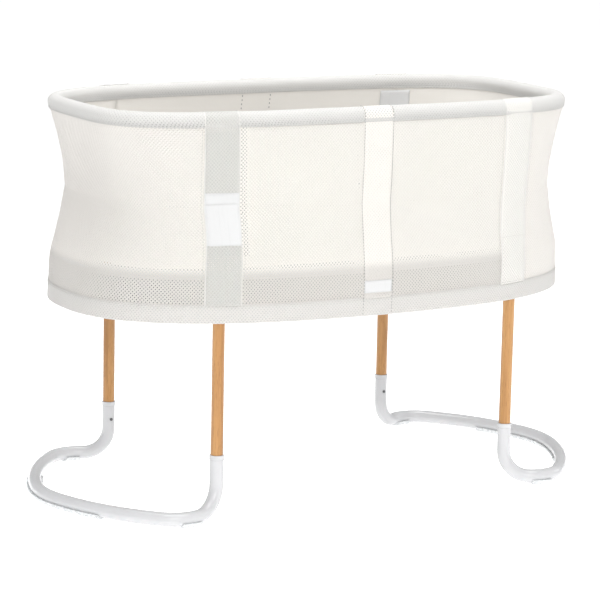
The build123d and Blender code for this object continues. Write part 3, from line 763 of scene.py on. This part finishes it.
def rim_profile(turn, lift=0.0):
    """Points of the rim wrap at one turn: up the outside, over the padding, down the inside."""
    outer_levels = heights(FLAP_BOTTOM_Z, RIM_Z - RIM_RADIUS * 0.62, RIM_FLAP_ROWS)
    outer = [cover_skin(turn, z, 0.0012 + lift) for z in outer_levels]
    edge = outline_point(RIM, turn)
    normal = outline_normal(RIM, edge)
    centre = edge - normal * RIM_RADIUS + Vector((0, 0, RIM_Z))
    lumps = 1 + 0.018 * noise.noise(centre * 16.0)
    radius = RIM_RADIUS * lumps + lift
    over = [centre + (normal * math.cos(a) + Vector((0, 0, math.sin(a)))) * radius for a in RIM_ANGLES]
    inner = [liner_skin(turn, z, -0.0020) for z in outer_levels[::-1]]
    return outer + over + inner


def rim_wrap():
    """Band of close mesh folded over the padded hoop."""
    columns = 220
    profiles = [rim_profile(2 * math.pi * i / columns) for i in range(columns)]
    grid = [[profile[j] for profile in profiles] for j in range(len(profiles[0]))]
    replaced = ("rim_cover_left", "rim_cover_right")
    piece = wall_piece("rim_wrap", grid, RIM_MESH, "mesh_fabric", 0.0010, *replaced, closed=True)


def painted_shade_strips():
    """Grey cloth strip beside each post band, seen through the mesh: painted shade beside the posts."""
    levels = heights(POCKET_BOTTOM_Z, FLAP_BOTTOM_Z, 24)
    for name, (x_side, y_side) in CORNERS.items():
        middle_at = post_line(x_side, y_side)
        grid = []
        for z in levels:
            near, far = (middle_at(z) - y_side * (STRIP_HALF_WIDTH + reach) for reach in (0.0, PAINTED_SHADE_WIDTH))
            low, high = span_between(min(near, far), max(near, far), y_side)(cover_oval(z))
            grid.append([cover_skin(low + (high - low) * i / 5, z, -0.0024) for i in range(6)])
        piece = wall_piece(f"band_painted_shade_{name}", grid, PAINTED_SHADE_WEAVE, "mesh_fabric", 0.0004)


def rim_padding():
    """Foam tube on the hoop, slightly uneven."""
    bm = bmesh.new()
    columns = 200
    rows = []
    for a in range(12):
        tilt = -2 * math.pi * a / 12
        row = []
        for i in range(columns):
            edge = outline_point(RIM, 2 * math.pi * i / columns)
            normal = outline_normal(RIM, edge)
            centre = edge - normal * RIM_RADIUS + Vector((0, 0, RIM_Z))
            radius = (RIM_RADIUS - 0.0016) * (1 + 0.012 * noise.noise(centre * 22.0))
            row.append(centre + (normal * math.cos(tilt) - Vector((0, 0, math.sin(tilt)))) * radius)
        rows.append(row)
    cloth_grid(bm, rows + rows[:1], closed=True)
    bmesh.ops.remove_doubles(bm, verts=bm.verts, dist=1e-6)
    piece = new_piece("rim_padding", bm, PADDING_FOAM, "foam", "rim_foam_left", "rim_foam_right")


def hem_fold():
    """Band folded under the bottom edge, outside and inside of the stiffener."""
    columns = 240
    ripples = [0.0005 * noise.noise(Vector((i * 0.11, 3.1, 0.0))) for i in range(columns)]

    def rippled_ring(z, stand_off):
        turns = [2 * math.pi * i / columns for i in range(columns)]
        return [cover_skin(turn, z, stand_off + ripple) for turn, ripple in zip(turns, ripples)]

    levels = heights(HEM_Z + HEM_FOLD_RADIUS, HEM_TOP_Z, 7)
    grid = [ring_of(cover_skin, z, HEM_STAND_OFF - HEM_FOLD_DEPTH, columns) for z in levels[::-1]]
    for angle in (210, 240, 270, 300, 330):
        a = math.radians(angle)
        stand_off = HEM_STAND_OFF - HEM_FOLD_DEPTH / 2 + math.cos(a) * HEM_FOLD_DEPTH / 2
        grid.append(rippled_ring(HEM_Z + HEM_FOLD_RADIUS * (1 + math.sin(a)), stand_off))
    grid += [rippled_ring(z, HEM_STAND_OFF) for z in levels]
    piece = wall_piece("hem_fold", grid, HEM_MESH, "mesh_fabric", 0.0009, "hem_band", closed=True)


# ---- strips, pockets and seams


def centre_line(z):
    """X of the middle of the centre strips, which lean."""
    top, bottom = CENTRE_STRIP_LEAN
    return bottom + (top - bottom) * (z - HEM_Z) / (RIM_Z - HEM_Z)


def post_line(x_side, y_side):
    """X of the middle of a post band as a function of the height; the front right one leans."""
    top, bottom = POST_BAND_LEAN if (x_side, y_side) == CORNERS["front_right"] else (0.0, 0.0)
    return lambda z: x_side * POST_X + bottom + (top - bottom) * (z - PLATFORM_Z) / (COVER_TOP_Z - PLATFORM_Z)


def over_rim(side, x, lift):
    """Line of points over the outside and top of the rim at an X, continuing a line up the cover."""
    rows = slice(RIM_FLAP_ROWS, RIM_FLAP_ROWS + 9)
    return rim_profile(turn_at(RIM, x, side), lift)[rows]


def strip_over_rim(side, middle, half_width, lift):
    """Rows of points of the upper end of a strip, folded over the rim; same columns as strip_grid."""
    lines = [over_rim(side, middle - side * half_width * (i / 7 - 1), lift) for i in range(15)]
    return [list(row) for row in zip(*lines)]


def strip_grid(side, middle_at, levels, half_width, stand_off):
    """Rows of points of a raised strip on the cover."""
    grid = []
    for z in levels:
        ends = (middle_at(z) - half_width, middle_at(z) + half_width)
        low, high = span_between(*ends, side)(cover_oval(z))
        row = []
        for i in range(15):
            share = i / 14
            lift = STRIP_EDGE_LIFT + (stand_off - STRIP_EDGE_LIFT) * (1 - (2 * share - 1) ** 6)
            row.append(cover_skin(low + (high - low) * share, z, lift))
        grid.append(row)
    return grid


def edge_line(side, x_at, levels, stand_off):
    """Line of points up the cover at a given X."""
    return [cover_skin(turn_at(cover_oval(z), x_at(z), side), z, stand_off) for z in levels]


def strips():
    """Raised bands over the posts and down the middle of the front and back."""
    levels = heights(HEM_TOP_Z - 0.002, COVER_TOP_Z - 0.002, 50)
    for name, (x_side, y_side) in CORNERS.items():
        line = post_line(x_side, y_side)
        grid = strip_grid(y_side, line, levels, STRIP_HALF_WIDTH, STRIP_STAND_OFF)
        grid += strip_over_rim(y_side, line(RIM_Z), STRIP_HALF_WIDTH, 0.0007)
        # The right post bands get the paler copy of the knit: painted light from the right.
        cloth = BAND_MESH if x_side < 0 else LIT_BAND_MESH
        cad_node = f"corner_strip_{name}"
        piece = wall_piece(f"post_band_{name}", grid, cloth, "mesh_fabric", BAND_THICKNESS, cad_node)
    for name, side in SIDES.items():
        grid = strip_grid(side, centre_line, levels, STRIP_HALF_WIDTH, CENTRE_STAND_OFF)
        grid += strip_over_rim(side, centre_line(RIM_Z), STRIP_HALF_WIDTH, STRIP_EDGE_LIFT)
        cad_node = f"centre_strip_{name}"
        # The centre bands carry the painted shade below the mattress too.
        piece = wall_piece(f"centre_band_{name}", grid, SHADED_BASKET_MESH, "mesh_fabric", BAND_THICKNESS, cad_node)


def post_pockets():
    """Woven pocket behind each post band, closed at its lower edge."""
    levels = heights(POCKET_BOTTOM_Z, COVER_TOP_Z - 0.004, 30)
    for name, (x_side, y_side) in CORNERS.items():
        grid = strip_grid(y_side, post_line(x_side, y_side), levels, STRIP_HALF_WIDTH - 0.0015, 0.0004)
        # The right pockets get the paler copy of the weave: painted light from the right.
        cloth = POCKET_WEAVE if x_side < 0 else LIT_POCKET_WEAVE
        piece = wall_piece(f"post_pocket_{name}", grid, cloth, "liner_fabric", 0.0003)


def seam_cords():
    """Narrow piping along both edges of each post band."""
    bm = bmesh.new()
    levels = heights(HEM_TOP_Z - 0.002, COVER_TOP_Z - 0.004, 60)
    for x_side, y_side in CORNERS.values():
        for edge in (-1, 1):
            offset = edge * (STRIP_HALF_WIDTH + 0.0004)
            line = post_line(x_side, y_side)
            path = edge_line(y_side, lambda z: line(z) + offset, levels, 0.0006)
            tube_into(bm, path + over_rim(y_side, line(RIM_Z) + offset, 0.0004), 0.0010)
    new_piece("band_piping", bm, PALE_PIPING, "mesh_fabric")


def cover_stitching():
    """Dark stitches of the centre bands, from the rim to the bottom edge."""
    bm = bmesh.new()
    levels = heights(HEM_Z + 0.004, COVER_TOP_Z + 0.002, 70)
    for side in SIDES.values():
        for edge in (-1, 1):
            inset = edge * (STRIP_HALF_WIDTH - 0.001)
            line = edge_line(side, lambda z: centre_line(z) + inset, levels, CENTRE_STAND_OFF)
            line += over_rim(side, centre_line(RIM_Z) + inset, CENTRE_STAND_OFF)
            stitches_into(bm, line, 0.0050, 0.0024, 0.0007)
    new_piece("centre_band_stitching", bm, GREY_THREAD, "mesh_fabric")


def pale_stitching():
    """Light stitches: beside the post bands, round the hem, the rim flap and the pockets."""
    bm = bmesh.new()
    levels = heights(HEM_TOP_Z, COVER_TOP_Z - 0.002, 60)
    for x_side, y_side in CORNERS.values():
        middle = post_line(x_side, y_side)
        for edge in (-1, 1):
            offset = edge * (STRIP_HALF_WIDTH + 0.0050)
            line = edge_line(y_side, lambda z: middle(z) + offset, levels, 0.0003)
            stitches_into(bm, line, 0.0045, 0.0026, 0.0007)
        for z in (POCKET_BOTTOM_Z, HEM_TOP_Z + 0.001):
            ends = span_between(middle(z) - STRIP_HALF_WIDTH, middle(z) + STRIP_HALF_WIDTH, y_side)
            low, high = ends(cover_oval(z))
            line = [cover_skin(low + (high - low) * i / 12, z, STRIP_STAND_OFF) for i in range(13)]
            stitches_into(bm, line, 0.0040, 0.0026, 0.0007)
    for z, stand_off in ((HEM_TOP_Z - 0.004, 0.0011), (FLAP_BOTTOM_Z + 0.002, 0.0014)):
        ring = ring_of(cover_skin, z, stand_off, 300)
        stitches_into(bm, ring + ring[:1], 0.0040, 0.0027, 0.0006)
    new_piece("edge_stitching", bm, PALE_THREAD, "mesh_fabric")


def lining_stitching():
    """Stitches of the liner: its waist seam and the two rows down the middle of each long side."""
    bm = bmesh.new()
    for offset in (-0.0016, 0.0026):
        ring = ring_of(liner_skin, WAIST_Z + offset, 0.0005, 300)
        stitches_into(bm, ring + ring[:1], 0.0060, 0.0035, 0.0007)
    new_piece("waist_stitching", bm, PALE_THREAD, "liner_fabric")
    bm = bmesh.new()
    levels = heights(WAIST_Z, COVER_TOP_Z + 0.001, 34)
    for side in SIDES.values():
        for x in (-STRIP_HALF_WIDTH, STRIP_HALF_WIDTH):
            for stand_off in (0.0004, -0.0014):
                line = [liner_skin(turn_at(liner_oval(z), x, side), z, stand_off) for z in levels]
                stitches_into(bm, line, 0.0075, 0.0028, 0.0009)
    new_piece("lining_stitching", bm, GREY_THREAD, "liner_fabric")


def labels():
    """Blank labels: two layers on the front left band, one inside at the back, one on the centre band."""
    low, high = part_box("pocket_label")
    layers = (("care_label_back", high.z, 0.0029), ("care_label", high.z - 0.017, 0.0036))
    for name, top_z, stand_off in layers:
        levels = heights(low.z, top_z, 16)
        grid = strip_grid(-1, lambda z: -POST_X, levels, STRIP_HALF_WIDTH + 0.001, stand_off)
        piece = wall_piece(name, grid, LABEL_WEAVE, "label_fabric", 0.0004, "pocket_label")

    low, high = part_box("inner_label")
    levels = heights(low.z, high.z, 10)
    span = span_between(low.x, high.x, 1)
    grid = wall_grid(liner_skin, liner_oval, levels, span, 14, lambda share: -0.0018)
    piece = wall_piece("inside_label", grid, LABEL_WEAVE, "label_fabric", 0.0004, "inner_label")

    low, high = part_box("sewn_tag")
    levels = heights(low.z, high.z, 8)
    grid = strip_grid(-1, centre_line, levels, STRIP_HALF_WIDTH - 0.0015, 0.0019)
    piece = wall_piece("edge_tag", grid, LABEL_WEAVE, "label_fabric", 0.0006, "sewn_tag")


# ---- mattress


def slab_mesh(oval, low, high, rounding):
    """Closed slab with rounded edges."""
    bm = bmesh.new()
    columns = 128
    profile = []
    for i in range(7):
        a = math.pi / 2 * i / 6
        profile.append((rounding * (1 - math.sin(a)), low + rounding * (1 - math.cos(a))))
    profile += [(inset, low + high - z) for inset, z in profile[::-1]]
    rows = []
    for inset, z in profile:
        shape = Oval(oval.half_length - inset, oval.half_width - inset, oval.squareness)
        ring = [outline_point(shape, 2 * math.pi * i / columns) for i in range(columns)]
        rows.append([point + Vector((0, 0, z)) for point in ring])
    rings = cloth_grid(bm, rows, closed=True)
    bm.faces.new(rings[0][::-1])
    bm.faces.new(rings[-1])
    return bm


def planar_uv(data):
    """UVs from the plan, in metres, with the height added so that the sides keep their weave."""
    layer = data.uv_layers.get("UVMap") or data.uv_layers.new(name="UVMap")
    for loop in data.loops:
        point = data.vertices[loop.vertex_index].co
        layer.data[loop.index].uv = (point.x + point.z, point.y + point.z)


def remeshed(piece, voxel):
    """Replaces the mesh by an even one of that voxel size."""
    modifier = piece.modifiers.new("even", "REMESH")
    modifier.mode = "VOXEL"
    modifier.voxel_size = voxel
    applied(piece)


def applied(piece):
    """Bakes the modifiers of a piece into its mesh."""
    graph = bpy.context.evaluated_depsgraph_get()
    data = bpy.data.meshes.new_from_object(piece.evaluated_get(graph))
    old = piece.data
    piece.modifiers.clear()
    piece.data = data
    bpy.data.meshes.remove(old)


def inflated(piece, pressure, cap, frames=18):
    """Puffs a closed piece up as cloth under pressure; no point moves further than the cap."""
    rest = [vertex.co.copy() for vertex in piece.data.vertices]
    scene = bpy.context.scene
    cloth = piece.modifiers.new("puff", "CLOTH")
    cloth.settings.use_pressure = True
    cloth.settings.uniform_pressure_force = pressure
    cloth.settings.effector_weights.gravity = 0
    cloth.settings.tension_stiffness = 25
    cloth.settings.bending_stiffness = 0.6
    cloth.point_cache.frame_start = 1
    cloth.point_cache.frame_end = frames
    for number in range(1, frames + 1):
        scene.frame_set(number)
    applied(piece)
    scene.frame_set(1)
    for vertex, start in zip(piece.data.vertices, rest):
        move = vertex.co - start
        if move.length > cap:
            vertex.co = start + move.normalized() * cap


def mattress():
    """Foam mattress in a woven cover, puffed by a cloth simulation."""
    low, high = bed_low.z, bed_high.z
    start = Oval(BED.half_length - MATTRESS_SWELL, BED.half_width - MATTRESS_SWELL, BED.squareness)
    bm = slab_mesh(start, low + MATTRESS_SWELL * 0.6, high - MATTRESS_SWELL, 0.010)
    piece = new_piece("mattress_pad", bm, TICKING_WEAVE, "mattress_foam", "mattress", body="mattress")
    remeshed(piece, 0.0075)
    inflated(piece, 3.0, MATTRESS_SWELL)
    for vertex in piece.data.vertices:
        vertex.co.z = max(vertex.co.z, low)
    smooth_faces(piece.data)
    planar_uv(piece.data)
    return piece


def smooth_faces(data):
    """Smooth shading for every face."""
    data.polygons.foreach_set("use_smooth", [True] * len(data.polygons))


def fitted_sheet(pad):
    """Jersey sheet drawn over the mattress, gathered under its edge."""
    low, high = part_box("fitted_sheet")
    bm = bmesh.new()
    bm.from_mesh(pad.data)
    bm.normal_update()
    for vertex in bm.verts:
        place = vertex.co.copy()
        side = 1 - min(1.0, abs(vertex.normal.z))
        angle = math.atan2(place.y / BED.half_width, place.x / BED.half_length)
        gather = side * 0.0006 * math.sin(angle * 170) * (1 - min(1.0, (place.z - low.z) / 0.03))
        drift = 0.0007 * noise.noise(place * 14.0)
        vertex.co = place + vertex.normal * (0.0009 + max(-0.0004, gather + drift))
    underside = [face for face in bm.faces if face.normal.z < -0.7]
    open_part = [face for face in underside if deep_inside(face.calc_center_median(), SHEET_HEM)]
    bmesh.ops.delete(bm, geom=open_part, context="FACES")
    piece = new_piece("bed_sheet", bm, SHEET_WEAVE, "sheet_fabric", "fitted_sheet", body="mattress")
    smooth_faces(piece.data)
    planar_uv(piece.data)
    thick(piece, 0.0006)


def deep_inside(point, margin):
    """Whether a point of the mattress's underside is further from its edge than the hem reaches."""
    n = BED.squareness
    return abs(point.x / (BED.half_length - margin)) ** n + abs(point.y / (BED.half_width - margin)) ** n < 1


# ---- CAD nodes, stage, camera


def finish_cad_nodes():
    """Each CAD node that stays gets the finish of its own slot."""
    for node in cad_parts.values():
        for slot in node.material_slots:
            finish = CAD_FINISH.get(slot.material.name) if slot.material else None
            if finish:
                slot.material = finish


CAMERA_PLACE = Vector((-2.2024, -3.9881, 1.1784))
CAMERA_YAW = 0.502
CAMERA_PITCH = 0.190
CAMERA_ROLL = 0.021
CAMERA_LENS = 162.8


def camera():
    """Long lens from the front left, a little above the rim."""
    data = bpy.data.cameras.new("camera")
    data.lens = CAMERA_LENS
    data.clip_end = 100
    made = placed("camera", data)
    level = Matrix.Rotation(-CAMERA_YAW, 4, "Z") @ Matrix.Rotation(math.pi / 2 - CAMERA_PITCH, 4, "X")
    made.matrix_world = Matrix.Translation(CAMERA_PLACE) @ level @ Matrix.Rotation(CAMERA_ROLL, 4, "Z")
    bpy.context.scene.camera = made


def soft_light(name, place, aim, size, power, warmth=(1.0, 1.0, 1.0)):
    """Square soft box that faces a point."""
    data = bpy.data.lights.new(name, "AREA")
    data.size = size
    data.energy = power
    data.color = warmth
    made = placed(name, data)
    made.location = place
    made.rotation_euler = (Vector(aim) - Vector(place)).to_track_quat("-Z", "Y").to_euler()


def stage():
    """Wide pale floor, white surroundings and three soft boxes."""
    bm = bmesh.new()
    bmesh.ops.create_grid(bm, x_segments=8, y_segments=8, size=40)
    data = bpy.data.meshes.new("floor")
    bm.to_mesh(data)
    bm.free()
    data.materials.append(pale_floor())
    placed("floor", data)

    world = bpy.data.worlds.new("studio")
    world.use_nodes = True
    sky = next(node for node in world.node_tree.nodes if node.type == "BACKGROUND")
    sky.inputs["Color"].default_value = (1.0, 1.0, 1.0, 1.0)
    sky.inputs["Strength"].default_value = 0.50
    bpy.context.scene.world = world
    bpy.context.scene.view_settings.view_transform = "Standard"

    middle = (0.0, 0.0, 0.45)
    soft_light("key", (-1.5, -4.2, 2.3), middle, 2.4, 75, (1.0, 0.985, 0.965))
    soft_light("top", (0.0, 0.0, 3.2), middle, 2.4, 88)
    soft_light("side", (3.8, -0.6, 1.6), middle, 1.8, 12)


finish_cad_nodes()
cover_panels()
liner_panels()
lining_base()
base_cloth()
rim_padding()
rim_wrap()
painted_shade_strips()
hem_fold()
strips()
post_pockets()
seam_cords()
cover_stitching()
pale_stitching()
lining_stitching()
labels()
fitted_sheet(mattress())
stage()
camera()
